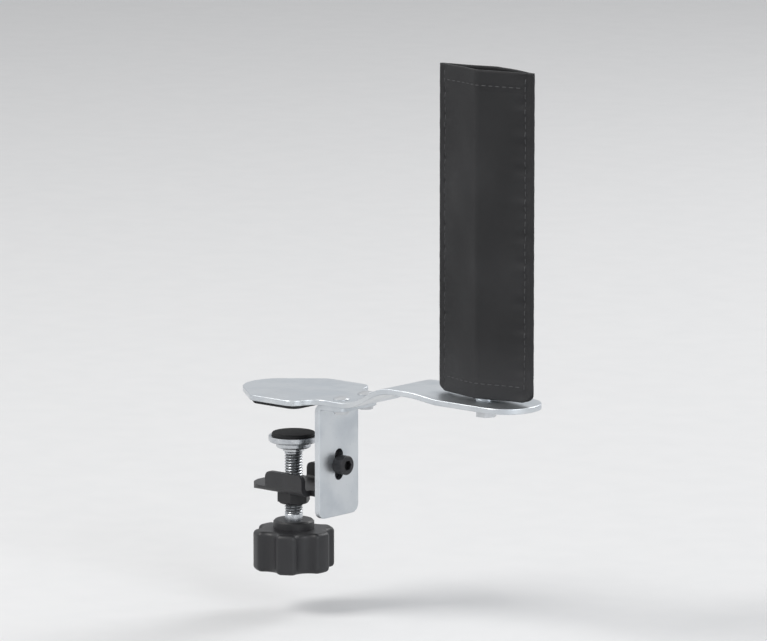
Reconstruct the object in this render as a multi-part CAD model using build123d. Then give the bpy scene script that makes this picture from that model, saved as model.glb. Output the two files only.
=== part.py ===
from build123d import *
import math
import os

# Table tennis net clamp with its post and net-end sleeve.
# Frame: origin at the centre of the upper jaw pad's face, on the table top.
# +X points outboard along the net line, +Y along the table, +Z up. Millimetres.

# ---- driving dimensions ----------------------------------------------------
SHEET = 2.5  # thickness of every pressed steel sheet
BEND = 1.5  # inner radius of a sheet bend
EDGE_R = 0.4  # tumbled edges of the pressed sheets

PAD_FILM = 1.5  # rubber sheet under the upper jaw
FOOT_REACH = 48.0  # upper jaw's tip to the strap's inner face
FOOT_WIDTH = 52.0  # upper jaw beside the strap
FOOT_TIP_R = 17.0  # rounded tip of the upper jaw
FOOT_CORNER_R = 6.0
FOOT_SIDE = 18.0  # straight sides beside the strap, before the taper
PAD_INSET = 2.0  # pad's edge inside the upper jaw's edge

ARM_WIDTH = 30.0
ARM_CORNER_R = 8.0  # inner corners between the jaw and the arm
ARM_RISE = 9.5  # the joggle lifts the arm this much
ARM_DIP = 1.5  # and the post seat lies this much lower again
ARM_FLAT = 13.0  # level run outboard of the strap
ARM_CREST = 9.0  # level run at the crest
ARM_FALL = 18.0  # length of the falling joggle
SEAT_REACH = 14.0  # level post seat inboard of the post; the rising joggle takes the rest
POST_OUT = 88.0  # post axis outboard of the table edge
EDGE_GAP = 1.5  # table edge to the strap's inner face

STRAP_WIDTH = 26.0
STRAP_DROP = 50.0  # strap's foot below the table top
STRAP_CORNER_R = 4.0
SLOT_WIDTH = 5.3
SLOT_LENGTH = 14.0
SLOT_DROP = 27.0  # slot's centre below the table top
RIVET_R = 2.0
RIVET_PITCH = 16.0
RIVET_OUT = 8.5  # rivets outboard of the strap's outer face

BOARD = 16.0  # table top held at rest
OPEN_TRAVEL = 13.0  # pad travel away from the board
SCREW_INSET = 24.0  # clamp screw's axis inboard of the strap

JAW_WIDTH = 30.0
JAW_NOSE = 17.0  # lower jaw inboard of the screw's axis
JAW_TOP = -20.5  # top of the lower jaw's back flange
JAW_RIB = 7.0  # height of its side ribs above the plate
RIB_SETBACK = 1.0  # ribs start this far behind the rounded nose
RIB_RELIEF = 2.0  # and end this far short of the back flange

PAD_R = 9.6
PAD_THICK = 3.0
CUP_RIM_R = 11.0
CUP_WALL = 1.2
CUP_WELL_R = 6.5  # inner radius of the cup's well
CUP_WELL_DEPTH = 3.8
CUP_HOLE_R = 3.1
CUP_PLAY = 0.45  # the cup rocks on the washer by this play
CLIP_R = 4.3
CLIP_THICK = 0.7
JOURNAL_R = 2.5  # turned end of the clamp screw
WASHER_R = 4.75
WASHER_THICK = 1.0

SCREW_R = 4.0  # M8
THREAD_PITCH = 1.25
THREAD_DEPTH = 0.6
NUT_FLATS = 13.0
NUT_HEIGHT = 6.5
NUT_CHAMFER = 0.8

KNOB_R = 18.0
KNOB_HEIGHT = 22.0
KNOB_LOBES = 6
KNOB_SCALLOP_R = 6.0
KNOB_GAP = 7.5  # knob's top below the weld nut
HUB_R = 9.0
HUB_HEIGHT = 4.0
HEAD_HEIGHT = 5.3
CAP_R = 10.0
CAP_THICK = 2.0
CAP_DOME = 1.2
CAP_RIM = 0.4  # the cap's rim lies this deep in the knob

BOLT_R = 2.5  # M5
BOLT_HEAD_R = 4.25
BOLT_HEAD = 5.0
BOLT_HEX = 4.0
BOLT_NUT_FLATS = 8.0
BOLT_NUT = 4.0
BOLT_TIP = 2.0  # thread beyond the nut
BOLT_WASHER_R = 5.0
BOLT_WASHER = 1.0

POST_R = 5.0
POST_WALL = 1.2
POST_TOP = 149.0
PLUG_LENGTH = 20.0
POST_SCREW_R = 2.5
POST_SCREW_LENGTH = 16.0
POST_HEAD_FLATS = 8.0
POST_HEAD = 3.5
POST_WASHER_R = 6.0
POST_WASHER = 1.2
TIP_R = 5.4  # cap on the post
TIP_HEIGHT = 3.5
TIP_SPIGOT = 12.0
TIP_NOTCH = 3.0  # cord notch across the cap
TIP_NOTCH_DEPTH = 2.0

SLEEVE_WIDTH = 52.0
SLEEVE_TOP = 155.0
SLEEVE_EDGE = 2.4  # thickness of the sleeve's sewn edges
SLEEVE_CLOTH = 1.0
SLEEVE_SEAM = 3.0  # width of the sleeve's sewn edges
SLEEVE_CORNER_R = 5.0
SLEEVE_LIFT = 1.5  # sleeve's lower edge above the post seat

# ---- clearances -----------------------------------------------------------
SLIDE_PLAY = 0.15  # lower jaw to strap
HOLE_PLAY = 0.2  # round a bolt in its hole
THREAD_PLAY = 0.06  # screw to nut, on the radius
JOURNAL_PLAY = 0.08
SEAT_PLAY = 0.05
SLEEVE_PLAY = 0.5
WELL_PLAY = 0.5  # clip to pressure pad
PRESS_PLAY = 0.02  # pressed or moulded-in joints, on the radius
SHOULDER_SPARE = 1.2  # screw's shoulder over the lower jaw with the clamp wide open
HEAD_COVER = 1.0  # plastic between the screw's head and the knob's cap

# ---- places worked out from the dimensions ---------------------------------
STRAP_IN = FOOT_REACH / 2
STRAP_OUT = STRAP_IN + SHEET
EDGE_X = STRAP_IN - EDGE_GAP
PLATE_LOW = PAD_FILM
POST_X = EDGE_X + POST_OUT
SEAT_LOW = PLATE_LOW + ARM_RISE - ARM_DIP
SEAT_TOP = SEAT_LOW + SHEET
RAMP_START = STRAP_OUT + ARM_FLAT
FALL_END = POST_X - SEAT_REACH
FALL_START = FALL_END - ARM_FALL
RAMP_END = FALL_START - ARM_CREST
SCREW_X = STRAP_IN - SCREW_INSET
PAD_TOP = -BOARD
PAD_LOW = PAD_TOP - PAD_THICK
CUP_FLOOR_TOP = PAD_LOW - CUP_WELL_DEPTH + CUP_WALL
CUP_LOW = CUP_FLOOR_TOP - CUP_WALL
WASHER_TOP = CUP_LOW - CUP_PLAY
SHOULDER = WASHER_TOP - WASHER_THICK - SEAT_PLAY
CLIP_LOW = CUP_FLOOR_TOP + CUP_PLAY
JOURNAL_TOP = PAD_LOW - WELL_PLAY
JAW_PLATE_TOP = SHOULDER - OPEN_TRAVEL - SHOULDER_SPARE
JAW_PLATE_LOW = JAW_PLATE_TOP - SHEET
NUT_LOW = JAW_PLATE_LOW - NUT_HEIGHT
KNOB_TOP = NUT_LOW - KNOB_GAP
KNOB_LOW = KNOB_TOP - KNOB_HEIGHT
HEAD_LOW = KNOB_LOW + CAP_THICK + HEAD_COVER
HEAD_TOP = HEAD_LOW + HEAD_HEIGHT


def disc(x, y, low, high, radius):
    """Upright round bar between two heights."""
    return Pos(x, y, (low + high) / 2) * Cylinder(radius, high - low)


def bar_x(x0, x1, y, z, radius):
    """Round bar along X."""
    turned = Pos((x0 + x1) / 2, y, z) * Rot(0, 90, 0)
    return turned * Cylinder(radius, x1 - x0)


def block(x0, x1, y0, y1, z0, z1):
    """Box between two corners."""
    middle = Pos((x0 + x1) / 2, (y0 + y1) / 2, (z0 + z1) / 2)
    return middle * Box(x1 - x0, y1 - y0, z1 - z0)


def hexagon(flats):
    return RegularPolygon(flats / math.sqrt(3), 6)


def dome_radius(half, rise):
    """Radius of the arc that rises this much over this half width."""
    return (half * half + rise * rise) / (2 * rise)


def foot_outline(inset):
    """Upper jaw in plan: a rounded tip that widens to the strap."""
    tip_x = -FOOT_REACH / 2 + FOOT_TIP_R
    half = FOOT_WIDTH / 2
    tip = Pos(tip_x, 0) * Circle(FOOT_TIP_R - inset)
    wide_x = STRAP_IN - FOOT_CORNER_R
    corners = Sketch()
    for side in (-1, 1):
        y = side * (half - FOOT_CORNER_R)
        corners += Pos(wide_x, y) * Circle(FOOT_CORNER_R - inset)
        corners += Pos(wide_x - FOOT_SIDE, y) * Circle(FOOT_CORNER_R - inset)
    return make_hull((tip + corners).edges())


def arm_profile():
    """Side view of the jaw and arm sheet, as its lower line thickened upward."""
    crest = PLATE_LOW + ARM_RISE
    end_x = POST_X + SLEEVE_WIDTH / 2
    level = (1, 0)
    start = Line((-FOOT_REACH / 2 - 1, PLATE_LOW), (RAMP_START, PLATE_LOW))
    rise = Spline([(RAMP_START, PLATE_LOW), (RAMP_END, crest)], tangents=[level, level])
    top = Line((RAMP_END, crest), (FALL_START, crest))
    fall = Spline([(FALL_START, crest), (FALL_END, SEAT_LOW)], tangents=[level, level])
    seat = Line((FALL_END, SEAT_LOW), (end_x, SEAT_LOW))
    low = Curve() + [start, rise, top, fall, seat]
    high = Pos(0, SHEET) * low
    ends = Curve() + [
        Line(low @ 1, high @ 1),
        Line(high @ 0, low @ 0),
    ]
    return make_face((low + high + ends).edges())


def along(edge, axis):
    """Does this edge run along X, Y or Z (0, 1 or 2) at its middle?"""
    return abs(tuple(edge.tangent_at(0.5))[axis]) > 0.9


def make_bracket_plate():
    """One pressed sheet: upper jaw, joggled arm and post seat."""
    end_x = POST_X + SLEEVE_WIDTH / 2
    sheet = Plane.XZ * arm_profile()
    band = extrude(sheet, FOOT_WIDTH, both=True)
    arm_start = STRAP_IN - 10
    arm_length = end_x - arm_start
    arm = Pos(arm_start + arm_length / 2, 0) * Rectangle(arm_length, ARM_WIDTH)
    arm = fillet(arm.vertices().group_by(Axis.X)[-1], ARM_WIDTH / 2 - 0.5)
    height = PLATE_LOW + ARM_RISE + SHEET + 2
    cutter = extrude(foot_outline(0.0), height) + extrude(arm, height)
    for side in (-1, 1):
        corner = (STRAP_IN, side * ARM_WIDTH / 2, height / 2)
        inner = cutter.edges().filter_by(Axis.Z).sort_by_distance(corner)[0]
        cutter = fillet(inner, ARM_CORNER_R)
    plate = band & cutter
    creases = [e for e in plate.edges() if along(e, 1) and e.center().X > STRAP_IN]
    rims = [e for e in plate.edges() if not along(e, 2) and e not in creases]
    plate = fillet(rims, EDGE_R)
    for side in (-1, 1):
        y = side * RIVET_PITCH / 2
        plate -= disc(STRAP_OUT + RIVET_OUT, y, 0, 20, RIVET_R)
    plate -= disc(POST_X, 0, 0, 30, POST_SCREW_R + HOLE_PLAY)
    return plate


def make_front_strap():
    """Slotted angle: its short leg is riveted under the arm."""
    leg_end = STRAP_OUT + ARM_FLAT - 0.5
    half = STRAP_WIDTH / 2
    low = -STRAP_DROP
    upright = block(STRAP_IN, STRAP_OUT, -half, half, low, PLATE_LOW)
    leg = block(STRAP_IN, leg_end, -half, half, PLATE_LOW - SHEET, PLATE_LOW)
    angle = upright + leg
    inner_at = (STRAP_OUT, 0, PLATE_LOW - SHEET)
    outer = angle.edges().filter_by(Axis.Y).sort_by_distance((STRAP_IN, 0, PLATE_LOW))[0]
    angle = fillet(outer, BEND + SHEET)
    inner = angle.edges().filter_by(Axis.Y).sort_by_distance(inner_at)[0]
    angle = fillet(inner, BEND)
    feet = angle.edges().filter_by(Axis.X).group_by(Axis.Z)[0]
    angle = fillet(feet, STRAP_CORNER_R)
    tips = angle.edges().filter_by(Axis.Z).group_by(Axis.X)[-1]
    angle = fillet(tips, STRAP_CORNER_R)
    outside = angle.faces().filter_by(Axis.X).sort_by(Axis.X)[-2]
    rims = [e for e in outside.edges() if e.center().Z < PLATE_LOW - SHEET - BEND - 1]
    angle = fillet(rims, EDGE_R)
    slot = Plane.YZ * SlotOverall(SLOT_LENGTH, SLOT_WIDTH, rotation=90)
    angle -= Pos(STRAP_IN - 1, 0, -SLOT_DROP) * extrude(slot, SHEET + 2)
    for side in (-1, 1):
        y = side * RIVET_PITCH / 2
        angle -= disc(STRAP_OUT + RIVET_OUT, y, -10, 10, RIVET_R)
    return angle


def make_strap_rivets():
    """Two domed rivets through the arm and the strap's leg."""
    top = PLATE_LOW + SHEET
    low = PLATE_LOW - SHEET
    head_r = RIVET_R * 1.8
    head_h = RIVET_R * 0.7
    points = [(0, low - head_h), (head_r - 0.4, low - head_h), (head_r, low)]
    points += [(RIVET_R, low), (RIVET_R, top), (head_r, top), (head_r, top + 0.2)]
    dome = RadiusArc((head_r, top + 0.2), (0, top + head_h), -dome_radius(head_r, head_h - 0.2))
    axis = Line((0, top + head_h), (0, low - head_h))
    face = make_face((Curve() + [Polyline(*points), dome, axis]).edges())
    rivet = revolve(Plane.XZ * face, Axis.Z)
    x = STRAP_OUT + RIVET_OUT
    return [Pos(x, side * RIVET_PITCH / 2, 0) * rivet for side in (-1, 1)]


def make_foot_pad():
    """Rubber sheet glued under the upper jaw."""
    outline = foot_outline(PAD_INSET)
    return extrude(outline, PAD_FILM)


def make_lower_jaw():
    """Channel under the table: back flange, plate and two side ribs."""
    back = STRAP_IN - SLIDE_PLAY
    nose = SCREW_X - JAW_NOSE
    half = JAW_WIDTH / 2
    rib_top = JAW_PLATE_TOP + JAW_RIB
    flange_half = half - SHEET - BEND - RIB_RELIEF
    nose_r = half - SHEET
    channel = block(nose, back, -half, half, JAW_PLATE_LOW, rib_top)
    folds = channel.edges().filter_by(Axis.X).group_by(Axis.Z)[0]
    channel = fillet(folds, BEND + SHEET)
    plan = Pos((nose + back) / 2, 0) * Rectangle(back - nose, JAW_WIDTH)
    plan = fillet(plan.vertices().group_by(Axis.X)[0], nose_r)
    channel &= Pos(0, 0, JAW_PLATE_LOW - 1) * extrude(plan, rib_top - JAW_PLATE_LOW + 2)
    inside = block(nose - 1, back + 1, SHEET - half, half - SHEET, JAW_PLATE_TOP, rib_top + 1)
    inside = fillet(inside.edges().filter_by(Axis.X).group_by(Axis.Z)[0], BEND)
    channel -= inside
    nose_end = nose + nose_r + RIB_SETBACK
    channel -= block(nose - 1, nose_end, -half - 1, half + 1, JAW_PLATE_TOP + 0.01, rib_top + 1)
    rib_end = back - SHEET - BEND - RIB_RELIEF
    for side in (-1, 1):
        y0, y1 = sorted((side * flange_half, side * (half + 1)))
        channel -= block(rib_end, back + 1, y0, y1, JAW_PLATE_LOW - 1, rib_top + 1)
    for side in (-1, 1):
        rib_corners = channel.edges().filter_by(Axis.Y).group_by(Axis.Z)[-1]
        rib_corners = [e for e in rib_corners if e.center().Y * side > 0]
        channel = fillet(rib_corners, JAW_RIB * 0.4)
    flange = block(back - SHEET, back, -flange_half, flange_half, JAW_PLATE_LOW, JAW_TOP)
    flange = fillet(flange.edges().filter_by(Axis.X).group_by(Axis.Z)[-1], STRAP_CORNER_R)
    jaw = channel + flange
    outer_at = (back, 0, JAW_PLATE_LOW)
    outer = jaw.edges().filter_by(Axis.Y).sort_by_distance(outer_at)[0]
    jaw = fillet(outer, BEND + SHEET)
    inner_at = (back - SHEET, 0, JAW_PLATE_TOP)
    inner = jaw.edges().filter_by(Axis.Y).sort_by_distance(inner_at)[0]
    jaw = fillet(inner, BEND)
    jaw -= disc(SCREW_X, 0, JAW_PLATE_LOW - 1, JAW_PLATE_TOP + 1, SCREW_R + 0.5)
    jaw -= bar_x(back - SHEET - 1, back + 1, 0, -SLOT_DROP, BOLT_R + HOLE_PLAY)
    return jaw


def make_jaw_bolt():
    """Socket head bolt through the slot into the lower jaw."""
    head_in = STRAP_OUT + SLIDE_PLAY
    inner = STRAP_IN - SLIDE_PLAY - SHEET
    tip = inner - BOLT_WASHER - BOLT_NUT - BOLT_TIP
    head = bar_x(head_in, head_in + BOLT_HEAD, 0, -SLOT_DROP, BOLT_HEAD_R)
    head = chamfer(head.edges().filter_by(GeomType.CIRCLE).sort_by(Axis.X)[-1], 0.4)
    socket = Plane.YZ * hexagon(BOLT_HEX)
    socket_depth = 2.5
    head -= Pos(head_in + BOLT_HEAD - socket_depth, 0, -SLOT_DROP) * extrude(socket, 5)
    shank = bar_x(tip, head_in, 0, -SLOT_DROP, BOLT_R)
    shank = chamfer(shank.edges().filter_by(GeomType.CIRCLE).sort_by(Axis.X)[0], 0.5)
    return head + shank


def make_jaw_washer():
    outer = STRAP_IN - SLIDE_PLAY - SHEET
    ring = bar_x(outer - BOLT_WASHER, outer, 0, -SLOT_DROP, BOLT_WASHER_R)
    return ring - bar_x(outer - 9, outer + 1, 0, -SLOT_DROP, BOLT_R + HOLE_PLAY)


def make_jaw_nut():
    outer = STRAP_IN - SLIDE_PLAY - SHEET - BOLT_WASHER
    body = extrude(Plane.YZ * hexagon(BOLT_NUT_FLATS), BOLT_NUT)
    nut = Pos(outer - BOLT_NUT, 0, -SLOT_DROP) * body
    return nut - bar_x(outer - 9, outer + 1, 0, -SLOT_DROP, BOLT_R + PRESS_PLAY)


def make_weld_nut():
    """Hexagon nut welded under the lower jaw."""
    body = extrude(hexagon(NUT_FLATS), NUT_HEIGHT)
    cone = Cone(NUT_FLATS / 2 - 0.3 + NUT_HEIGHT, NUT_FLATS / 2 - 0.3, NUT_HEIGHT)
    rounded = Pos(0, 0, NUT_HEIGHT / 2) * Rot(180, 0, 0) * cone
    big = Pos(0, 0, NUT_HEIGHT / 2 + NUT_CHAMFER) * Cylinder(NUT_FLATS, NUT_HEIGHT)
    body = body & (rounded + big)
    nut = Pos(SCREW_X, 0, NUT_LOW) * body
    return nut - disc(SCREW_X, 0, NUT_LOW - 1, JAW_PLATE_LOW + 1, SCREW_R + THREAD_PLAY)


def make_clamp_screw():
    """M8 hexagon screw with a turned journal; thread rings, head in the knob."""
    head = Pos(SCREW_X, 0, HEAD_LOW) * extrude(hexagon(NUT_FLATS), HEAD_HEIGHT)
    thread_low = KNOB_TOP + 2.0
    points = [(0, HEAD_TOP), (SCREW_R, HEAD_TOP), (SCREW_R, thread_low)]
    turns = int((SHOULDER - 1.0 - thread_low) / THREAD_PITCH)
    for turn in range(turns):
        z = thread_low + turn * THREAD_PITCH
        points.append((SCREW_R - THREAD_DEPTH, z + THREAD_PITCH * 0.4))
        points.append((SCREW_R - THREAD_DEPTH, z + THREAD_PITCH * 0.55))
        points.append((SCREW_R, z + THREAD_PITCH * 0.9))
        points.append((SCREW_R, z + THREAD_PITCH))
    points += [(SCREW_R, SHOULDER - 0.5), (SCREW_R - 0.5, SHOULDER)]
    groove_low = CLIP_LOW
    groove_r = JOURNAL_R - 0.5
    points += [
        (JOURNAL_R, SHOULDER),
        (JOURNAL_R, groove_low),
        (groove_r, groove_low),
        (groove_r, groove_low + CLIP_THICK),
        (JOURNAL_R, groove_low + CLIP_THICK),
        (JOURNAL_R, JOURNAL_TOP - 0.4),
        (JOURNAL_R - 0.4, JOURNAL_TOP),
        (0, JOURNAL_TOP),
    ]
    face = make_face(Polyline(*points, close=True).edges())
    shank = revolve(Plane.XZ * face, Axis.Z)
    return head + Pos(SCREW_X, 0, 0) * shank


def make_thrust_washer():
    ring = disc(SCREW_X, 0, WASHER_TOP - WASHER_THICK, WASHER_TOP, WASHER_R)
    return ring - disc(SCREW_X, 0, WASHER_TOP - 9, WASHER_TOP + 9, JOURNAL_R + JOURNAL_PLAY)


def make_retaining_clip():
    """Open ring in the journal's groove, over the cup's floor."""
    high = CLIP_LOW + CLIP_THICK
    ring = disc(SCREW_X, 0, CLIP_LOW, high, CLIP_R)
    ring -= disc(SCREW_X, 0, CLIP_LOW - 1, high + 1, JOURNAL_R - 0.48)
    mouth = 2.6
    return ring - block(SCREW_X, SCREW_X + 9, -mouth / 2, mouth / 2, CLIP_LOW - 1, high + 1)


def make_swivel_cup():
    """Pressed cup: a wide tray for the pad over a well for the clip."""
    rim_low = PAD_LOW - CUP_WALL
    rim_top = PAD_TOP - PAD_THICK * 0.5
    well_out = CUP_WELL_R + CUP_WALL
    points = [
        (CUP_HOLE_R, CUP_LOW),
        (well_out, CUP_LOW),
        (well_out, rim_low),
        (CUP_RIM_R, rim_low),
        (CUP_RIM_R, rim_top),
        (CUP_RIM_R - CUP_WALL, rim_top),
        (CUP_RIM_R - CUP_WALL, PAD_LOW),
        (CUP_WELL_R, PAD_LOW),
        (CUP_WELL_R, CUP_FLOOR_TOP),
        (CUP_HOLE_R, CUP_FLOOR_TOP),
    ]
    face = make_face(Polyline(*points, close=True).edges())
    outer = [v for v in face.vertices() if v.X > well_out - 0.01 and v.Y < rim_low + 0.01]
    face = fillet([v for v in outer if v.X > CUP_RIM_R - 0.01 or v.Y < CUP_LOW + 0.01], 0.9)
    return Pos(SCREW_X, 0, 0) * revolve(Plane.XZ * face, Axis.Z)


def make_pressure_pad():
    pad = disc(SCREW_X, 0, PAD_LOW, PAD_TOP, PAD_R)
    return chamfer(pad.edges().filter_by(GeomType.CIRCLE).sort_by(Axis.Z)[-1], 0.4)


def make_knob():
    """Scalloped plastic knob with a hub, moulded round the screw's head."""
    grip_top = KNOB_TOP - HUB_HEIGHT
    outline = Circle(KNOB_R)
    for lobe in range(KNOB_LOBES):
        angle = math.radians(360 * (lobe + 0.5) / KNOB_LOBES)
        reach = KNOB_R + KNOB_SCALLOP_R * 0.45
        outline -= Pos(reach * math.cos(angle), reach * math.sin(angle)) * Circle(KNOB_SCALLOP_R)
    outline = fillet(outline.vertices(), 2.5)
    grip = extrude(outline, grip_top - KNOB_LOW)
    rims = grip.edges().group_by(Axis.Z)
    grip = fillet(rims[0] + rims[-1], 2.0)
    knob = Pos(SCREW_X, 0, KNOB_LOW) * grip
    hub = disc(SCREW_X, 0, grip_top - 1, KNOB_TOP, HUB_R)
    knob += chamfer(hub.edges().filter_by(GeomType.CIRCLE).sort_by(Axis.Z)[-1], 0.8)
    knob -= disc(SCREW_X, 0, HEAD_TOP - 1, KNOB_TOP + 1, SCREW_R + PRESS_PLAY)
    pocket = extrude(hexagon(NUT_FLATS + 2 * PRESS_PLAY), HEAD_TOP - KNOB_LOW + 1)
    knob -= Pos(SCREW_X, 0, KNOB_LOW - 1) * pocket
    knob -= disc(SCREW_X, 0, KNOB_LOW - 1, KNOB_LOW + CAP_THICK, CAP_R + PRESS_PLAY)
    return knob


def make_knob_cap():
    """Snap-in cover over the screw's head."""
    low = KNOB_LOW
    rim = low + CAP_RIM
    apex = rim - CAP_DOME
    profile = Polyline((0, low + CAP_THICK), (CAP_R, low + CAP_THICK), (CAP_R, rim))
    dome = RadiusArc((CAP_R, rim), (0, apex), dome_radius(CAP_R, CAP_DOME))
    axis = Line((0, apex), (0, low + CAP_THICK))
    face = make_face((Curve() + [profile, dome, axis]).edges())
    cap = revolve(Plane.XZ * face, Axis.Z)
    return Pos(SCREW_X, 0, 0) * cap


def make_post_tube():
    tube = disc(POST_X, 0, SEAT_TOP, POST_TOP, POST_R)
    return tube - disc(POST_X, 0, SEAT_TOP - 1, POST_TOP + 1, POST_R - POST_WALL)


def make_post_plug():
    """Threaded plug pressed into the tube's foot."""
    plug = disc(POST_X, 0, SEAT_TOP, SEAT_TOP + PLUG_LENGTH, POST_R - POST_WALL)
    bore_top = SEAT_TOP + PLUG_LENGTH - 2
    return plug - disc(POST_X, 0, SEAT_TOP - 1, bore_top, POST_SCREW_R + PRESS_PLAY)


def make_post_screw():
    """Hexagon screw from below, through the arm into the plug."""
    head_top = SEAT_LOW - POST_WASHER
    head = extrude(hexagon(POST_HEAD_FLATS), POST_HEAD)
    head = Pos(POST_X, 0, head_top - POST_HEAD) * head
    shank = disc(POST_X, 0, head_top, head_top + POST_SCREW_LENGTH, POST_SCREW_R)
    return head + shank


def make_post_washer():
    ring = disc(POST_X, 0, SEAT_LOW - POST_WASHER, SEAT_LOW, POST_WASHER_R)
    return ring - disc(POST_X, 0, SEAT_LOW - 9, SEAT_LOW + 1, POST_SCREW_R + HOLE_PLAY)


def make_post_cap():
    """Plug for the post's top with a notch for the net cord."""
    spigot = disc(POST_X, 0, POST_TOP - TIP_SPIGOT, POST_TOP, POST_R - POST_WALL)
    head = disc(POST_X, 0, POST_TOP, POST_TOP + TIP_HEIGHT, TIP_R)
    head = fillet(head.edges().filter_by(GeomType.CIRCLE).sort_by(Axis.Z)[-1], 1.4)
    notch_low = POST_TOP + TIP_HEIGHT - TIP_NOTCH_DEPTH
    half = TIP_NOTCH / 2
    head -= block(POST_X - 9, POST_X + 9, -half, half, notch_low, POST_TOP + 9)
    return spigot + head


def make_net_sleeve():
    """Cloth sleeve pulled straight from its sewn edges over the post's pocket."""
    low = SEAT_TOP + SLEEVE_LIFT
    height = SLEEVE_TOP - low
    pocket_r = TIP_R + SLEEVE_PLAY
    outer_r = pocket_r + SLEEVE_CLOTH
    half = SLEEVE_WIDTH / 2
    edge = SLEEVE_EDGE / 2
    seam = half - SLEEVE_SEAM
    reach = math.hypot(seam, edge)
    lean = math.asin(outer_r / reach) - math.atan2(edge, seam)
    touch = (outer_r * math.sin(lean), outer_r * math.cos(lean))
    quarter = make_face(
        Polyline(
            (0, 0), (half, 0), (half, edge), (seam, edge), touch, (0, touch[1]), close=True
        ).edges()
    )
    section = quarter + mirror(quarter, Plane.YZ)
    section += mirror(section, Plane.XZ)
    section += Circle(outer_r)
    body = extrude(section, height)
    corners = body.edges().filter_by(Axis.Y).group_by(Axis.Z)[0]
    body = fillet(corners, SLEEVE_CORNER_R)
    body -= Pos(0, 0, height / 2) * Cylinder(pocket_r, 2 * height)
    return Pos(POST_X, 0, low) * body


def write(name, shape):
    """Export one node; a list holds several separate solids."""
    if isinstance(shape, list):
        shape = Compound(children=[Part(solid.wrapped) for solid in shape])
    export_step(shape, f"parts/{name}.step")


os.makedirs("parts", exist_ok=True)
write("bracket_plate", make_bracket_plate())
write("front_strap", make_front_strap())
write("strap_rivets", make_strap_rivets())
write("foot_pad", make_foot_pad())
write("lower_jaw", make_lower_jaw())
write("jaw_bolt", make_jaw_bolt())
write("jaw_washer", make_jaw_washer())
write("jaw_nut", make_jaw_nut())
write("weld_nut", make_weld_nut())
write("clamp_screw", make_clamp_screw())
write("thrust_washer", make_thrust_washer())
write("retaining_clip", make_retaining_clip())
write("swivel_cup", make_swivel_cup())
write("pressure_pad", make_pressure_pad())
write("knob", make_knob())
write("knob_cap", make_knob_cap())
write("post_tube", make_post_tube())
write("post_plug", make_post_plug())
write("post_screw", make_post_screw())
write("post_washer", make_post_washer())
write("post_cap", make_post_cap())
write("net_sleeve", make_net_sleeve())
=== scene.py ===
import math

import bpy
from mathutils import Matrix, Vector


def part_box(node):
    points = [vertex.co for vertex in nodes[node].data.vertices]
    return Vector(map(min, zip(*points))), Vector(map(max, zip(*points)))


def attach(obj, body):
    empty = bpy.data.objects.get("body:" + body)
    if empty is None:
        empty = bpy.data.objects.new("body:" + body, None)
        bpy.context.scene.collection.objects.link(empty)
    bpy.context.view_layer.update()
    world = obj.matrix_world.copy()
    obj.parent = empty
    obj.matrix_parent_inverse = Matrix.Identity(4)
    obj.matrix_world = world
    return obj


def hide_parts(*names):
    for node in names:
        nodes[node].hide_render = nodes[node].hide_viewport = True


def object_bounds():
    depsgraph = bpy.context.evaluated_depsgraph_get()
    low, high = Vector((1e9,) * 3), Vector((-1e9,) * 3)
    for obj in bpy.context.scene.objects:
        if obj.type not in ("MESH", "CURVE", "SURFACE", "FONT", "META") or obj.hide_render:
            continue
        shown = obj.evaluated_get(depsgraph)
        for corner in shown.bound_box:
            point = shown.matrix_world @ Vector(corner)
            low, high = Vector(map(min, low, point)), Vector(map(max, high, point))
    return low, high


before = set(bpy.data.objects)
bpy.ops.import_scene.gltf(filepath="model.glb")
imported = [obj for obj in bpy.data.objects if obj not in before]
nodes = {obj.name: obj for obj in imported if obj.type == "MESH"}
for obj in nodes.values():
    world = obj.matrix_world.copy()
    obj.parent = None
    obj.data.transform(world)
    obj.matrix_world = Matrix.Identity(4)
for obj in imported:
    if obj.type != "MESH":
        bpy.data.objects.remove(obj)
cad_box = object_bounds()

# ---- Studio -----------------------------------------------------------------
# The clamp is seen from outside the table's corner, a little above its top, from
# three metres away. It hangs on a table's edge in use; here it hangs over a pale
# floor that the knob clears when fully lowered, in even light from big soft boxes.
AZIMUTH = math.radians(41)
ELEVATION = math.radians(10)
DISTANCE = 3.04
AIM_INBOARD = 0.004
AIM_RAISE = 0.001
SENSOR_MM = 36
LENS_MM = 330
low, high = Vector(cad_box[0]), Vector(cad_box[1])
toward_eye = Vector(
    (
        math.sin(AZIMUTH) * math.cos(ELEVATION),
        -math.cos(AZIMUTH) * math.cos(ELEVATION),
        math.sin(ELEVATION),
    )
)
aim = Vector(((low.x + high.x) / 2 - AIM_INBOARD, 0, (low.z + high.z) / 2 + AIM_RAISE))
eye = bpy.data.objects.new("eye", bpy.data.cameras.new("eye"))
bpy.context.collection.objects.link(eye)
eye.location = aim + toward_eye * DISTANCE
eye.rotation_euler = toward_eye.to_track_quat("Z", "Y").to_euler()
eye.data.sensor_width = SENSOR_MM
eye.data.lens = LENS_MM
eye.data.clip_start = 0.1
bpy.context.scene.camera = eye
bpy.context.scene.view_settings.view_transform = "Standard"


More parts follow.
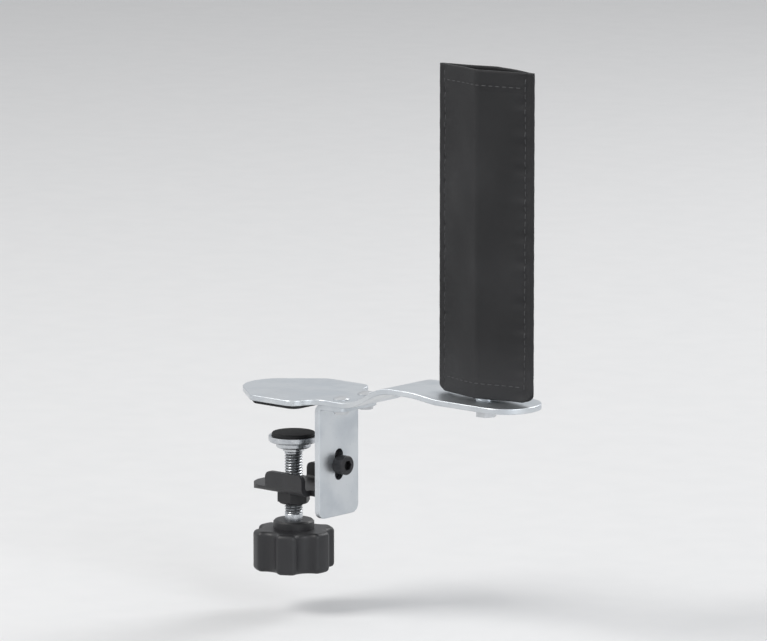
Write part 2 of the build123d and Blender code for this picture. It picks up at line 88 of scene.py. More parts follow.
class Socket:
    """An output socket with + - * /, so that shader maths reads as a formula."""

    def __init__(self, tree, out):
        self.tree = tree
        self.out = out

    def node(self, kind, settings=None, inputs=None, output=0):
        """Add a node of this kind; inputs are values or other sockets, by name or index."""
        made = self.tree.nodes.new(kind)
        for name, value in (settings or {}).items():
            if name == "stops":
                ramp = made.color_ramp.elements
                while len(ramp) < len(value):
                    ramp.new(0.5)
                for stop, (place, colour) in zip(ramp, value):
                    stop.position = place
                    stop.color = (*colour, 1)
            else:
                setattr(made, name, value)
        for name, value in (inputs or {}).items():
            if isinstance(value, Socket):
                self.tree.links.new(value.out, made.inputs[name])
            else:
                made.inputs[name].default_value = value
        return Socket(self.tree, made.outputs[output])

    def maths(self, operation, first, second=0.0):
        inputs = {0: first, 1: second}
        return self.node("ShaderNodeMath", {"operation": operation}, inputs)

    def __add__(self, other):
        return self.maths("ADD", self, other)

    def __radd__(self, other):
        return self.maths("ADD", other, self)

    def __sub__(self, other):
        return self.maths("SUBTRACT", self, other)

    def __rsub__(self, other):
        return self.maths("SUBTRACT", other, self)

    def __mul__(self, other):
        return self.maths("MULTIPLY", self, other)

    def __rmul__(self, other):
        return self.maths("MULTIPLY", other, self)

    def __truediv__(self, other):
        return self.maths("DIVIDE", self, other)

    def between(self, start, end):
        """0 below start, 1 above end, smooth between."""
        inputs = {0: self, 1: start, 2: end, 3: 0.0, 4: 1.0}
        settings = {"interpolation_type": "SMOOTHSTEP"}
        return self.node("ShaderNodeMapRange", settings, inputs)

    def tint(self, first, second):
        """Colour that goes from first to second with this factor."""
        inputs = {0: self, 6: first, 7: second}
        return self.node("ShaderNodeMix", {"data_type": "RGBA"}, inputs, output=2)

    def noise(self, scale, detail=2.0, stretch=(1, 1, 1)):
        """Noise over this position; stretch squeezes it along X, Y and Z."""
        settings = {"operation": "MULTIPLY"}
        spread = self.node("ShaderNodeVectorMath", settings, {0: self, 1: stretch})
        return self.node("ShaderNodeTexNoise", {}, {0: spread, "Scale": scale, "Detail": detail})

    def part(self, axis):
        """X, Y or Z of this position, by its index."""
        return self.node("ShaderNodeSeparateXYZ", {}, {0: self}, output=axis)


def finish_of(name, constants):
    """A material with constants on its shader, as its shader and its surface position."""
    material = bpy.data.materials.new(name)
    material.use_nodes = True
    tree = material.node_tree
    shader = tree.nodes["Principled BSDF"]
    for socket, value in constants.items():
        shader.inputs[socket].default_value = value
    place = tree.nodes.new("ShaderNodeTexCoord")
    return material, shader, Socket(tree, place.outputs["Object"])


def feed(shader, **links):
    """Link sockets to the shader; an underscore in a name stands for a space."""
    for name, socket in links.items():
        socket.tree.links.new(socket.out, shader.inputs[name.replace("_", " ")])


def relief(height, depth, strength=1.0):
    """Bump of this depth in metres from a height between 0 and 1."""
    inputs = {"Strength": strength, "Distance": depth, "Height": height}
    return height.node("ShaderNodeBump", {}, inputs)


def dress(node, material):
    """Give a CAD part its finish."""
    slots = nodes[node].data.materials
    slots.clear()
    slots.append(material)


# The floor is pale card. Seen straight on it and the room are an even near-white.
FLOOR_REACH = 4.0
KNOB_ROOM = 0.018
CARD_DARK = (0.80, 0.805, 0.815, 1)
CARD_PALE = (0.84, 0.842, 0.85, 1)
ROOM_LOW = (0.62, 0.64, 0.67, 1)
ROOM_TOP = (0.97, 0.975, 0.98, 1)
ROOM_LIGHT = 0.42
ROOM_SEEN_MORE = 0.5
floor_mesh = bpy.data.meshes.new("floor")
floor_z = low.z - KNOB_ROOM
floor_mesh.from_pydata(
    [(x * FLOOR_REACH, y * FLOOR_REACH, floor_z) for x, y in ((-1, -1), (1, -1), (1, 1), (-1, 1))],
    [],
    [(0, 1, 2, 3)],
)
floor = bpy.data.objects.new("floor", floor_mesh)
bpy.context.collection.objects.link(floor)
card, card_shader, card_place = finish_of("pale_card", {"Roughness": 0.9})
speckle = card_place.noise(60.0)
feed(card_shader, Base_Color=speckle.tint(CARD_DARK, CARD_PALE))
floor_mesh.materials.append(card)

world = bpy.data.worlds.new("room")
bpy.context.scene.world = world
world.use_nodes = True
room_tree = world.node_tree
ray = room_tree.nodes.new("ShaderNodeLightPath")
straight = Socket(room_tree, ray.outputs["Is Camera Ray"])
glossy = Socket(room_tree, ray.outputs["Is Glossy Ray"])
through = Socket(room_tree, ray.outputs["Is Transmission Ray"])
shown = straight.maths("MAXIMUM", straight.maths("MAXIMUM", straight, glossy), through)
direction = Socket(room_tree, room_tree.nodes.new("ShaderNodeTexCoord").outputs["Generated"])
upward = direction.part(2).between(-0.15, 0.9)
room_colour = upward.tint(ROOM_LOW, ROOM_TOP)
room = room_tree.nodes["Background"]
room_tree.links.new(room_colour.out, room.inputs["Color"])
room_tree.links.new((ROOM_LIGHT + shown * ROOM_SEEN_MORE).out, room.inputs["Strength"])


def soft_box(name, place, size, watts, colour):
    """A square lamp that faces the clamp."""
    lamp = bpy.data.lights.new(name, "AREA")
    lamp.size = size
    lamp.energy = watts
    lamp.color = colour
    holder = bpy.data.objects.new(name, lamp)
    bpy.context.collection.objects.link(holder)
    holder.location = aim + Vector(place)
    holder.rotation_euler = Vector(place).to_track_quat("Z", "Y").to_euler()


soft_box("key", (-0.9, -1.5, 1.7), 1.2, 34, (1.0, 0.985, 0.96))
soft_box("fill", (2.0, -0.6, 0.7), 1.0, 17, (0.95, 0.975, 1.0))
soft_box("back", (0.3, 1.8, 1.3), 1.0, 16, (1.0, 1.0, 1.0))

# ---- Bracket plate ----------------------------------------------------------
# One pressed strip of 2.5 mm steel: the jaw that lies on the table top, the
# joggled arm and the seat for the post. Bright zinc plated after pressing, so the
# rolling lines still show through a slightly clouded, bluish coat.
ZINC = (0.66, 0.69, 0.715, 1)
ZINC_CLOUD = (0.56, 0.595, 0.63, 1)
ZINC_WARM = (0.68, 0.67, 0.65, 1)
ZINC_SPOT = (0.36, 0.38, 0.41, 1)
ZINC_RELIEF = 0.00002
SCRATCH_STRETCH = 0.35


def zinc_coat(name, lines, warmth=0.25):
    """Bright zinc; lines is how fine the rolling lines are along X, Y and Z."""
    material, shader, place = finish_of(name, {"Metallic": 1.0})
    cloud = place.noise(70.0, 3.0).between(0.35, 0.7)
    blush = place.noise(28.0, 2.0).between(0.5, 0.8) * warmth
    rolling = place.noise(1.0, 3.0, lines)
    longer = tuple(fineness * SCRATCH_STRETCH for fineness in lines)
    scratch = place.noise(1.0, 1.0, longer).between(0.66, 0.70)
    colour = cloud.tint(ZINC, ZINC_CLOUD)
    colour = blush.tint(colour, ZINC_WARM)
    spots = place.noise(900.0, 2.0).between(0.68, 0.76)
    colour = (spots * 0.35).tint(colour, ZINC_SPOT)
    feed(
        shader,
        Base_Color=colour,
        Roughness=0.27 + cloud * 0.09 + rolling * 0.12 + scratch * 0.08,
        Normal=relief(rolling * 0.7 + scratch * 0.3, ZINC_RELIEF),
    )
    return material


dress("bracket_plate", zinc_coat("zinc_sheet", (60, 1500, 1500)))

# ---- Front strap and its rivets ---------------------------------------------
# A slotted angle of the same sheet. Its short leg lies under the arm, where two
# steel rivets hold it; the upright leg hangs just clear of the table's edge.
dress("front_strap", zinc_coat("zinc_strap", (1500, 1500, 60)))
TURNED_BRIGHT = (0.62, 0.635, 0.65, 1)
TURNED_DULL = (0.50, 0.515, 0.535, 1)
TURNED_RELIEF = 0.00001


def turned_zinc(name, dullness):
    """Zinc on small turned or cold-headed parts: even, a little dull."""
    material, shader, place = finish_of(name, {"Metallic": 1.0})
    cloud = place.noise(240.0, 2.0).between(0.3, 0.75)
    grain = place.noise(2600.0, 2.0)
    feed(
        shader,
        Base_Color=cloud.tint(TURNED_BRIGHT, TURNED_DULL),
        Roughness=dullness + cloud * 0.1 + grain * 0.06,
        Normal=relief(grain, TURNED_RELIEF),
    )
    return material


fastener_zinc = turned_zinc("zinc_fastener", 0.26)
dress("strap_rivets", fastener_zinc)

# ---- Foot pad ---------------------------------------------------------------
# A sheet of black rubber glued under the jaw, so that the steel does not mark the
# playing surface. Fine ribs across it are moulded in.
RUBBER_BLACK = (0.017, 0.017, 0.018, 1)
RUBBER_DUSTY = (0.034, 0.034, 0.035, 1)
RUBBER_RELIEF = 0.00012
RIB_PITCH = 0.003


def rubber(name, rib_pitch):
    """Matt black rubber; ribs this far apart along X, or none."""
    material, shader, place = finish_of(name, {"Specular IOR Level": 0.35})
    dust = place.noise(160.0, 3.0).between(0.45, 0.8)
    grain = place.noise(3500.0, 1.0)
    height = grain * 0.3
    if rib_pitch:
        wave = place.maths("SINE", place.part(0) * (2 * math.pi / rib_pitch))
        height = height + wave.between(-0.4, 0.4) * 0.7
    feed(
        shader,
        Base_Color=dust.tint(RUBBER_BLACK, RUBBER_DUSTY),
        Roughness=0.72 + dust * 0.15,
        Normal=relief(height, RUBBER_RELIEF),
    )
    return material


dress("foot_pad", rubber("foot_rubber", RIB_PITCH))

# ---- Post -------------------------------------------------------------------
# A drawn steel tube, plated, that stands on the arm's seat. A threaded plug is
# pressed into its foot, and a hexagon screw with a washer pulls it down from below.
dress("post_tube", zinc_coat("zinc_tube", (1500, 1500, 40), warmth=0.1))
dress("post_plug", fastener_zinc)
dress("post_screw", fastener_zinc)
dress("post_washer", turned_zinc("zinc_washer", 0.2))

# ---- Post cap ---------------------------------------------------------------
# Black moulded plug in the tube's top, notched for the net's cord. The mould was
# spark eroded, which leaves a fine even grain.
PLASTIC_BLACK = (0.019, 0.019, 0.021, 1)
PLASTIC_PALER = (0.026, 0.026, 0.028, 1)
PLASTIC_RELIEF = 0.00006


def moulded_plastic(name, gloss):
    """Black moulded plastic with a fine grain; gloss lowers its roughness."""
    material, shader, place = finish_of(name, {"IOR": 1.48})
    pits = place.noise(2200.0, 2.0)
    flow = place.noise(55.0, 2.0).between(0.4, 0.75)
    feed(
        shader,
        Base_Color=flow.tint(PLASTIC_BLACK, PLASTIC_PALER),
        Roughness=0.5 - gloss + flow * 0.06 + pits * 0.1,
        Normal=relief(pits, PLASTIC_RELIEF),
    )
    return material


grained_plastic = moulded_plastic("grained_plastic", 0.06)
dress("post_cap", grained_plastic)

# ---- Lower jaw --------------------------------------------------------------
# A pressed channel behind the strap, black powder coated. It slides up and down
# the slot to suit the table top's thickness and carries the clamp screw's nut.
COAT_BLACK = (0.020, 0.020, 0.022, 1)
COAT_PALER = (0.028, 0.028, 0.030, 1)
COAT_RELIEF = 0.00007
coat, coat_shader, coat_place = finish_of("powder_coat", {"IOR": 1.5})
orange_peel = coat_place.noise(1100.0, 3.0)
grit = coat_place.noise(4200.0, 2.0)
coat_cloud = coat_place.noise(90.0, 2.0).between(0.4, 0.8)
feed(
    coat_shader,
    Base_Color=coat_cloud.tint(COAT_BLACK, COAT_PALER),
    Roughness=0.38 + orange_peel * 0.12 + grit * 0.08,
    Normal=relief(orange_peel * 0.75 + grit * 0.25, COAT_RELIEF),
)
dress("lower_jaw", coat)

# ---- Jaw bolt, washer and nut -----------------------------------------------
# A black socket head bolt goes through the slot and the jaw's back flange. Its
# head is knurled; the washer and nut behind are plated.
BOLT_DROP = 0.027
HEAD_FROM_BACK = 0.0027
KNURL_START = 0.0005
KNURL_FULL = 0.0008
KNURLS = 36
KNURL_DEPTH = 0.0001
BOLT_BLACK = (0.030, 0.030, 0.033, 1)
BOLT_PALER = (0.055, 0.055, 0.058, 1)
black_steel, bolt_shader, bolt_place = finish_of("black_steel", {"Metallic": 0.75})
bolt_x = bolt_place.part(0)
around = bolt_place.maths("ARCTAN2", bolt_place.part(2) + BOLT_DROP, bolt_place.part(1))
knurl = bolt_place.maths("SINE", around * KNURLS).between(-0.5, 0.5)
head_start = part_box("front_strap")[0][0] + HEAD_FROM_BACK
on_head = bolt_x.between(head_start + KNURL_START, head_start + KNURL_FULL)
bolt_grain = bolt_place.noise(2600.0, 2.0)
feed(
    bolt_shader,
    Base_Color=bolt_grain.tint(BOLT_BLACK, BOLT_PALER),
    Roughness=0.36 + bolt_grain * 0.18,
    Normal=relief(knurl * on_head * 0.9 + bolt_grain * 0.1, KNURL_DEPTH),
)
dress("jaw_bolt", black_steel)
dress("jaw_washer", fastener_zinc)
dress("jaw_nut", fastener_zinc)

# ---- Weld nut and its welds -------------------------------------------------
# An M8 nut under the jaw's plate, tacked on with three short beads before coating,
# so the beads and the nut's flanks carry the same black coat.
nut_low, nut_high = (Vector(v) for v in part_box("weld_nut"))
screw_x = (nut_low.x + nut_high.x) / 2
NUT_FLAT = 0.0065
BEADS = 3
BEAD_R = 0.0011
BEAD_LENGTH = 0.0052
BEAD_SINK = 0.0002
BEAD_RIPPLE = 0.07
BEAD_RIPPLES = 14
BEAD_END = 0.02
BEAD_RINGS = 9
BEAD_SIDES = 10


def tube_faces(start, rings, sides, inward=False):
    """Faces of a capped tube whose rings of points follow one another from start."""
    faces = []
    for ring in range(rings - 1):
        for side in range(sides):
            a = start + ring * sides + side
            b = start + ring * sides + (side + 1) % sides
            face = (a, a + sides, b + sides, b)
            faces.append((a, b, b + sides, a + sides) if inward else face)
    last = start + (rings - 1) * sides
    first_cap = range(start, start + sides)
    last_cap = range(last, last + sides)
    faces.append(tuple(reversed(first_cap) if inward else first_cap))
    faces.append(tuple(last_cap if inward else reversed(last_cap)))
    return faces


bead_points = []
bead_faces = []
for bead in range(BEADS):
    facing = math.radians(30 + 360 / BEADS * bead)
    outward = Vector((math.cos(facing), math.sin(facing), 0))
    sideways = Vector((-outward.y, outward.x, 0))
    start = len(bead_points)
    middle = Vector((screw_x, 0, nut_high.z - BEAD_SINK)) + outward * NUT_FLAT
    for ring in range(BEAD_RINGS):
        share = ring / (BEAD_RINGS - 1) * 2 - 1
        ripple = 1 + BEAD_RIPPLE * math.cos(share * BEAD_RIPPLES)
        radius = BEAD_R * math.sqrt(max(BEAD_END, 1 - share**4)) * ripple
        centre = middle + sideways * (share * BEAD_LENGTH / 2)
        for side in range(BEAD_SIDES):
            turn = 2 * math.pi * side / BEAD_SIDES
            offset = outward * math.cos(turn) + Vector((0, 0, math.sin(turn)))
            bead_points.append(centre + offset * radius)
    bead_faces += tube_faces(start, BEAD_RINGS, BEAD_SIDES)


def add_piece(name, points, faces, material, body):
    """A mesh piece that rides on a body, smooth shaded."""
    mesh = bpy.data.meshes.new(name)
    mesh.from_pydata([tuple(p) for p in points], [], faces)
    mesh.validate()
    mesh.shade_smooth()
    mesh.materials.append(material)
    piece = bpy.data.objects.new(name, mesh)
    bpy.context.collection.objects.link(piece)
    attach(piece, body)
    return piece


add_piece("nut_welds", bead_points, bead_faces, coat, "lower_jaw")
dress("weld_nut", coat)

# ---- Clamp screw ------------------------------------------------------------
# A zinc plated M8 hexagon screw with a cut right-handed thread. Its top is turned
# down to a journal with a groove for the clip; its thread roots are coloured darker and rougher.
SCREW_R = 0.004
THREAD_DEPTH = 0.0006
PITCH = 0.00125
JOURNAL_R = 0.0025
GROOVE_R = 0.002
HEAD_RISE = 0.0053
HEAD_CORNER = 0.013 / math.sqrt(3)
HEAD_CORNERS = 6
KNOB_GAP = 0.002
RUN_OUT = 0.002
THREAD_STOP = 0.0006
THREAD_FADE = 0.0008
FLANK = 2.5
ROOT_FLAT = 0.1
WASHER_PLAY = 0.00005
SHOULDER_CHAMFER = 0.0005
END_CHAMFER = 0.0004
EDGE = 0.00001
ROOT_DARK_FROM = 0.0005
ROOT_DARK_TO = 0.0001
CUT_BRIGHT = (0.60, 0.62, 0.645, 1)
CUT_DULL = (0.47, 0.49, 0.515, 1)
# The colour that the thread roots are darkened towards.
ROOT_DARK = (0.07, 0.066, 0.06, 1)
CUT_RELIEF = 0.000008
screw_low, screw_high = (Vector(v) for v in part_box("clamp_screw"))
clip_low, clip_high = (Vector(v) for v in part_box("retaining_clip"))
washer_low = Vector(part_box("thrust_washer")[0])
knob_high = Vector(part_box("knob")[1])
shoulder = washer_low.z - WASHER_PLAY
head_top = screw_low.z + HEAD_RISE
thread_low = knob_high.z + KNOB_GAP
SCREW_SIDES = 60
STEP = PITCH / 10
screw_rings = [(head_top, SCREW_R, 0.0), (thread_low - 0.0001, SCREW_R, 0.0)]
thread_steps = int((shoulder - THREAD_STOP - thread_low) / STEP)
for step in range(thread_steps + 1):
    height = thread_low + step * STEP
    start_share = min(1.0, (height - thread_low) / RUN_OUT)
    end_share = min(1.0, max(0.0, (shoulder - THREAD_STOP - height) / THREAD_FADE))
    screw_rings.append((height, SCREW_R, start_share * end_share))
screw_rings += [
    (shoulder - SHOULDER_CHAMFER, SCREW_R, 0.0),
    (shoulder, SCREW_R - SHOULDER_CHAMFER, 0.0),
    (shoulder + EDGE, JOURNAL_R, 0.0),
    (clip_low.z, JOURNAL_R, 0.0),
    (clip_low.z + EDGE, GROOVE_R, 0.0),
    (clip_high.z - EDGE, GROOVE_R, 0.0),
    (clip_high.z, JOURNAL_R, 0.0),
    (screw_high.z - END_CHAMFER, JOURNAL_R, 0.0),
    (screw_high.z, JOURNAL_R - END_CHAMFER, 0.0),
]
screw_points = []
for height, radius, share in screw_rings:
    for side in range(SCREW_SIDES):
        turn = 2 * math.pi * side / SCREW_SIDES
        phase = (height / PITCH - side / SCREW_SIDES) % 1.0
        root = min(1.0, max(0.0, abs(phase - 0.5) * FLANK - ROOT_FLAT))
        reach = radius - THREAD_DEPTH * share * (1 - root)
        screw_points.append((screw_x + reach * math.cos(turn), reach * math.sin(turn), height))
screw_faces = tube_faces(0, len(screw_rings), SCREW_SIDES, inward=True)
first = len(screw_points)
for height in (screw_low.z, head_top):
    for corner in range(HEAD_CORNERS):
        turn = math.pi / 3 * corner
        x = screw_x + HEAD_CORNER * math.cos(turn)
        screw_points.append((x, HEAD_CORNER * math.sin(turn), height))
screw_faces += tube_faces(first, 2, HEAD_CORNERS, inward=True)


def from_screw(place):
    """Distance of this position from the screw's axis."""
    x = place.part(0) - screw_x
    y = place.part(1)
    square = x * x + y * y
    return square.maths("SQRT", square)


cut_zinc, cut_shader, cut_place = finish_of("cut_zinc", {"Metallic": 1.0})
# The thread roots are coloured darker and made rougher than the crests.
in_thread = cut_place.part(2).between(shoulder, shoulder - 0.0003)
crest = from_screw(cut_place).between(SCREW_R - ROOT_DARK_FROM, SCREW_R - ROOT_DARK_TO)
dark_roots = (1.0 - crest) * in_thread
smear = cut_place.noise(700.0, 3.0).between(0.35, 0.7)
bright = smear.tint(CUT_BRIGHT, CUT_DULL)
feed(
    cut_shader,
    Base_Color=(dark_roots * 0.75).tint(bright, ROOT_DARK),
    Roughness=0.22 + smear * 0.12 + dark_roots * 0.22,
    Normal=relief(cut_place.noise(3000.0, 2.0), CUT_RELIEF),
)
screw = add_piece(
    "cut_screw", screw_points, screw_faces, cut_zinc, "clamp_screw"
)
screw.data.set_sharp_from_angle(angle=math.radians(38))
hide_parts("clamp_screw")

# ---- Thrust washer and retaining clip ---------------------------------------
# The washer is polished steel that the screw pushes on. The open clip is stamped
# from spring steel and blued; it keeps the cup on the journal.
dress("thrust_washer", turned_zinc("polished_washer", 0.16))
BLUED = (0.055, 0.062, 0.082, 1)
BLUED_BROWN = (0.088, 0.080, 0.078, 1)
BLUED_RELIEF = 0.00001
blued, blued_shader, blued_place = finish_of("blued_steel", {"Metallic": 0.9})
temper = blued_place.noise(300.0, 2.0).between(0.3, 0.75)
feed(
    blued_shader,
    Base_Color=temper.tint(BLUED, BLUED_BROWN),
    Roughness=0.30 + temper * 0.14,
    Normal=relief(blued_place.noise(2600.0, 2.0), BLUED_RELIEF),
)
dress("retaining_clip", blued)

# ---- Swivel cup and pressure pad --------------------------------------------
# The cup is drawn from thin steel and plated; faint rings from the drawing die run
# round it. A disc of black rubber is pressed into its rim.
DRAWING_RINGS = 22000
DRAWN_BRIGHT = (0.61, 0.63, 0.65, 1)
DRAWN_DULL = (0.48, 0.50, 0.53, 1)
DRAWN_RELIEF = 0.000006
cup_zinc, cup_shader, cup_place = finish_of("drawn_zinc", {"Metallic": 1.0})
cup_reach = from_screw(cup_place)
drawn_along = (cup_reach + cup_place.part(2)) * DRAWING_RINGS
cup_rings = cup_reach.maths("SINE", drawn_along).between(-1, 1)
cup_cloud = cup_place.noise(260.0, 3.0).between(0.3, 0.75)
feed(
    cup_shader,
    Base_Color=cup_cloud.tint(DRAWN_BRIGHT, DRAWN_DULL),
    Roughness=0.22 + cup_cloud * 0.12 + cup_rings * 0.08,
    Normal=relief(cup_rings, DRAWN_RELIEF),
)
dress("swivel_cup", cup_zinc)
dress("pressure_pad", rubber("pad_rubber", 0))

# ---- Knob and its cap -------------------------------------------------------
# The knob is moulded round the screw's head in black plastic with an eroded grain.
# The cap that snaps in under it comes from a polished mould, so it is glossier.
dress("knob", moulded_plastic("knob_plastic", 0.10))
dress("knob_cap", moulded_plastic("cap_plastic", 0.26))

# ---- Net sleeve -------------------------------------------------------------
# Black nylon cloth, folded round the post and sewn down both edges. It is stretched
# flat from the seams over the post, and hemmed at both of its open ends.
CLOTH = 0.0009
RIDGE_R = 0.00665
SEAM_X = 0.023
STITCH_X = 0.0223
EDGE_HALF = 0.0012
LOWER_CORNER = 0.005
INNER_X = 0.0224
PUCKER = 0.00024
FINE_PUCKER = 0.00015
PUCKER_REACH = 0.005
EDGE_PUCKER = 0.3
FOLD = 0.00045
FINE_FOLD = 0.00025
HEM = 0.008
HEM_STEP = 0.0008
HEM_BULGE = 0.0003
HEM_STITCH = 0.0065
HEM_GROOVE = 0.00018
HEM_GROOVE_REACH = 0.0004
SEAM_GROOVE = 0.0002
SEAM_GROOVE_REACH = 0.00035
STITCH_PITCH = 0.0032
STITCH_R = 0.00021
SLEEVE_ROWS = 170
sleeve_low, sleeve_high = (Vector(v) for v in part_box("net_sleeve"))
post_x = (sleeve_low.x + sleeve_high.x) / 2
half_width = (sleeve_high.x - sleeve_low.x) / 2
lean = math.asin(RIDGE_R / math.hypot(SEAM_X, EDGE_HALF)) - math.atan2(EDGE_HALF, SEAM_X)
touch_x = RIDGE_R * math.sin(lean)
touch_y = RIDGE_R * math.cos(lean)


def cloth_half(x):
    """Half thickness of the sleeve at this distance from the post's axis."""
    away = abs(x)
    if away <= touch_x:
        return math.sqrt(RIDGE_R**2 - away**2)
    if away <= SEAM_X:
        share = (away - touch_x) / (SEAM_X - touch_x)
        return touch_y + (EDGE_HALF - touch_y) * share
    round_from = half_width - EDGE_HALF
    if away <= round_from:
        return EDGE_HALF
    return math.sqrt(max(0.0, EDGE_HALF**2 - (away - round_from) ** 2))


def cloth_pull(x, z, face):
    """Puckers beside the seams and slack folds across the panels."""
    away = abs(x)
    beside = EDGE_PUCKER
    if away < SEAM_X:
        beside = math.exp(-(((SEAM_X - away) / PUCKER_REACH) ** 2))
    shift = 1.3 * face + (0.9 if x > 0 else 0.0)
    ripple = PUCKER * math.sin(z * 655 + shift) + FINE_PUCKER * math.sin(z * 1102 + 2.1 * shift)
    panel = 0.0
    if touch_x < away < SEAM_X:
        panel = math.sin(math.pi * (away - touch_x) / (SEAM_X - touch_x))
    fold = FOLD * math.sin(z * 74 + face * x * 105 + 0.6 * shift)
    fold += FINE_FOLD * math.sin(z * 171 - face * x * 190 + shift)
    return beside * ripple + panel * fold


def hem_lift(z, bottom):
    """Extra thickness where the cloth is turned over at its ends."""
    from_end = min(z - bottom, sleeve_high.z - z)
    share = min(1.0, max(0.0, (HEM - from_end) / HEM_STEP))
    groove = math.exp(-(((from_end - HEM_STITCH) / HEM_GROOVE_REACH) ** 2))
    return HEM_BULGE * share * share * (3 - 2 * share) - HEM_GROOVE * groove


def cloth_bottom(x):
    """The lower edge, with its rounded corners."""
    past = abs(x) - (half_width - LOWER_CORNER)
    if past <= 0:
        return sleeve_low.z
    return sleeve_low.z + LOWER_CORNER - math.sqrt(max(0.0, LOWER_CORNER**2 - past**2))


def cloth_surface(x, z, face):
    """Y of the outer surface on the front (-1) or the back (1)."""
    seam_groove = SEAM_GROOVE * math.exp(-(((abs(x) - STITCH_X) / SEAM_GROOVE_REACH) ** 2))
    out = cloth_half(x) + cloth_pull(x, z, face) * min(1.0, cloth_half(x) / EDGE_HALF)
    if abs(x) < SEAM_X:
        out += hem_lift(z, cloth_bottom(x))
    return face * (out - seam_groove)


across = [half_width - EDGE_HALF * (1 - math.sin(math.pi / 10 * k)) for k in range(5, 0, -1)]
across += [half_width - EDGE_HALF, (half_width - EDGE_HALF + SEAM_X) / 2, SEAM_X]
across += [STITCH_X + 0.0004, STITCH_X, STITCH_X - 0.0004]
across += [STITCH_X - 0.0008 + (touch_x - STITCH_X + 0.0008) * k / 18 for k in range(19)]
across += [touch_x * (1 - k / 7) for k in range(1, 8)]
front_line = [-x for x in across] + list(reversed(across[:-1]))
loop = [(x, -1) for x in front_line] + [(x, 1) for x in reversed(front_line[1:-1])]
loop_count = len(loop)
arc = [0.0]
for (x0, f0), (x1, f1) in zip(loop, loop[1:] + loop[:1]):
    gap_y = f1 * cloth_half(x1) - f0 * cloth_half(x0)
    arc.append(arc[-1] + math.hypot(x1 - x0, gap_y))
sleeve_points = []
for layer in ("outer", "inner"):
    for row in range(SLEEVE_ROWS + 1):
        for x, face in loop:
            bottom = cloth_bottom(x)
            z = bottom + (sleeve_high.z - bottom) * row / SLEEVE_ROWS
            if layer == "outer":
                sleeve_points.append((post_x + x, cloth_surface(x, z, face), z))
            elif abs(x) < INNER_X:
                y = cloth_half(x) + cloth_pull(x, z, face) - CLOTH
                sleeve_points.append((post_x + x, face * y, z))
            else:
                closed = (half_width - abs(x)) / (half_width - INNER_X)
                y = closed * (cloth_half(INNER_X) - CLOTH)
                sleeve_points.append((post_x + math.copysign(INNER_X, x), face * y, z))
inner_start = (SLEEVE_ROWS + 1) * loop_count
sleeve_faces = []
for row in range(SLEEVE_ROWS):
    for k in range(loop_count):
        a = row * loop_count + k
        b = row * loop_count + (k + 1) % loop_count
        sleeve_faces.append((a, b, b + loop_count, a + loop_count))
        c = inner_start + a
        d = inner_start + b
        sleeve_faces.append((c, c + loop_count, d + loop_count, d))
top_row = SLEEVE_ROWS * loop_count
for k in range(loop_count):
    after = (k + 1) % loop_count
    sleeve_faces.append((k, inner_start + k, inner_start + after, after))
    inner_a = inner_start + top_row + k
    inner_b = inner_start + top_row + after
    sleeve_faces.append((top_row + k, top_row + after, inner_b, inner_a))

YARN = 0.00045
NYLON_BLACK = (0.005, 0.005, 0.006, 1)
NYLON_FADED = (0.0115, 0.0115, 0.013, 1)
# The palest nylon tone is a painted sheen for the sleeve's lower end.
NYLON_PAINTED_SHEEN = (0.030, 0.030, 0.032, 1)
NYLON_RELIEF = 0.00007
nylon, nylon_shader, nylon_place = finish_of(
    "black_nylon", {"Sheen Weight": 0.05, "Sheen Roughness": 0.4, "Specular IOR Level": 0.38}
)
unfolded = nylon_place.node("ShaderNodeTexCoord", output=2)
warp = unfolded.maths("SINE", unfolded.part(0) * (math.pi / YARN))
weft = unfolded.maths("SINE", unfolded.part(1) * (math.pi / YARN))
over = (warp * weft).between(-0.25, 0.25)
yarns = warp.maths("ABSOLUTE", warp) * over + weft.maths("ABSOLUTE", weft) * (1.0 - over)
fuzz = nylon_place.noise(2500.0, 2.0)
faded = nylon_place.noise(26.0, 3.0).between(0.42, 0.72)
# Painted sheen: the cloth's colour is lighter over its lowest three centimetres, a highlight
# painted into it.
painted_sheen = (nylon_place.part(2) - sleeve_low.z).between(0.030, 0.004)
tone = faded.tint(NYLON_BLACK, NYLON_FADED)
feed(
    nylon_shader,
    Base_Color=(painted_sheen * 0.5).tint(tone, NYLON_PAINTED_SHEEN),
    Roughness=0.46 + yarns * 0.10 + fuzz * 0.10,
    Normal=relief(yarns * 0.8 + fuzz * 0.2, NYLON_RELIEF),
)
sleeve = add_piece(
    "sewn_sleeve", sleeve_points, sleeve_faces, nylon, "net_sleeve"
)
flat_map = sleeve.data.uv_layers.new(name="flat_cloth")
for polygon in sleeve.data.polygons:
    columns = [v % loop_count for v in polygon.vertices]
    wraps = max(columns) - min(columns) > loop_count / 2
    for corner, column in zip(polygon.loop_indices, columns):
        vertex = sleeve.data.vertices[sleeve.data.loops[corner].vertex_index]
        along = arc[loop_count] if wraps and column == 0 else arc[column]
        flat_map.data[corner].uv = (along, vertex.co.z)
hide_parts("net_sleeve")

# ---- Sleeve stitching -------------------------------------------------------
# Lock stitches in bonded black thread, down both edges and round both hems. Each
# one is a short length of thread that dips into the cloth at its two ends.
THREAD_SIDES = 8
THREAD_RINGS = 7
HALF_STITCH = STITCH_PITCH * 0.4
BONDED_DARK = (0.030, 0.030, 0.033, 1)
BONDED_PALE = (0.060, 0.060, 0.063, 1)
BONDED_RELIEF = 0.00003
thread_points = []
thread_faces = []


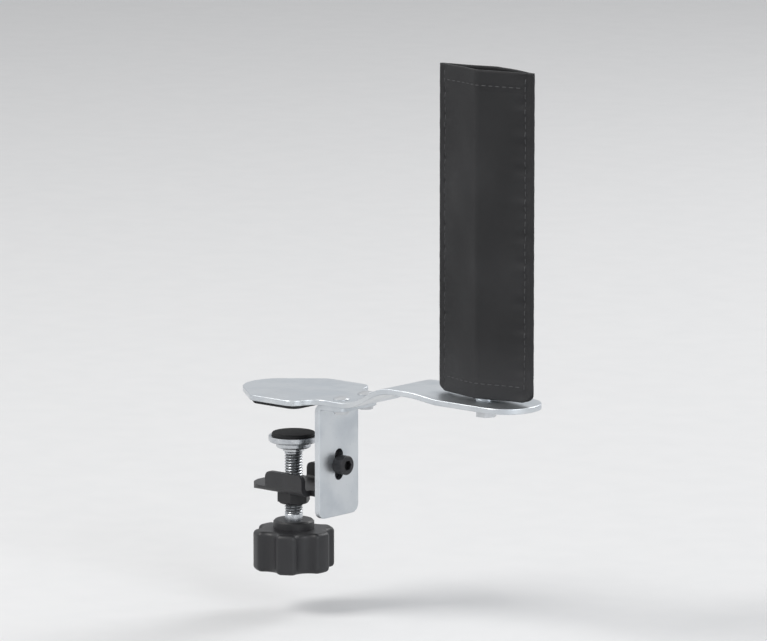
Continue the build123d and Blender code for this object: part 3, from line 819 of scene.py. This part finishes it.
def add_stitch(middle, half_run):
    """One stitch on the cloth: its middle and half its run, as (x, z) and a face."""
    x, z, face = middle
    start = len(thread_points)
    centres = []
    for ring in range(THREAD_RINGS):
        share = ring / (THREAD_RINGS - 1) * 2 - 1
        at_x = x + half_run[0] * share
        at_z = z + half_run[1] * share
        sink = STITCH_R * (1.5 * share**4 - 0.35)
        at_y = cloth_surface(at_x, at_z, face) - face * sink
        centres.append(Vector((post_x + at_x, at_y, at_z)))
    run = (centres[-1] - centres[0]).normalized()
    out = Vector((0, face, 0))
    out = (out - run * out.dot(run)).normalized()
    sideways = run.cross(out)
    for ring, centre in enumerate(centres):
        share = ring / (THREAD_RINGS - 1) * 2 - 1
        radius = STITCH_R * math.sqrt(max(0.12, 1 - share**6))
        for side in range(THREAD_SIDES):
            turn = 2 * math.pi * side / THREAD_SIDES
            offset = out * math.cos(turn) - sideways * math.sin(turn)
            thread_points.append(centre + offset * radius)
    thread_faces.extend(tube_faces(start, THREAD_RINGS, THREAD_SIDES))


edge_low = sleeve_low.z + LOWER_CORNER
edge_stitches = int((sleeve_high.z - edge_low - 0.002) / STITCH_PITCH)
hem_stitches = int(2 * STITCH_X / STITCH_PITCH)
for face in (-1, 1):
    for side in (-1, 1):
        for count in range(edge_stitches):
            z = edge_low + STITCH_PITCH * (count + 0.5)
            add_stitch((side * STITCH_X, z, face), (0, HALF_STITCH))
    for z in (sleeve_low.z + HEM_STITCH, sleeve_high.z - HEM_STITCH):
        for count in range(hem_stitches):
            x = STITCH_PITCH * (count + 0.5 - hem_stitches / 2)
            add_stitch((x, z, face), (HALF_STITCH, 0))
bonded, bonded_shader, bonded_place = finish_of("bonded_thread", {"IOR": 1.5})
twist = bonded_place.noise(4000.0, 1.0)
feed(
    bonded_shader,
    Base_Color=twist.tint(BONDED_DARK, BONDED_PALE),
    Roughness=0.40 + twist * 0.15,
    Normal=relief(twist, BONDED_RELIEF),
)
stitching = add_piece(
    "sleeve_stitching", thread_points, thread_faces, bonded, "net_sleeve"
)

bpy.context.view_layer.update()
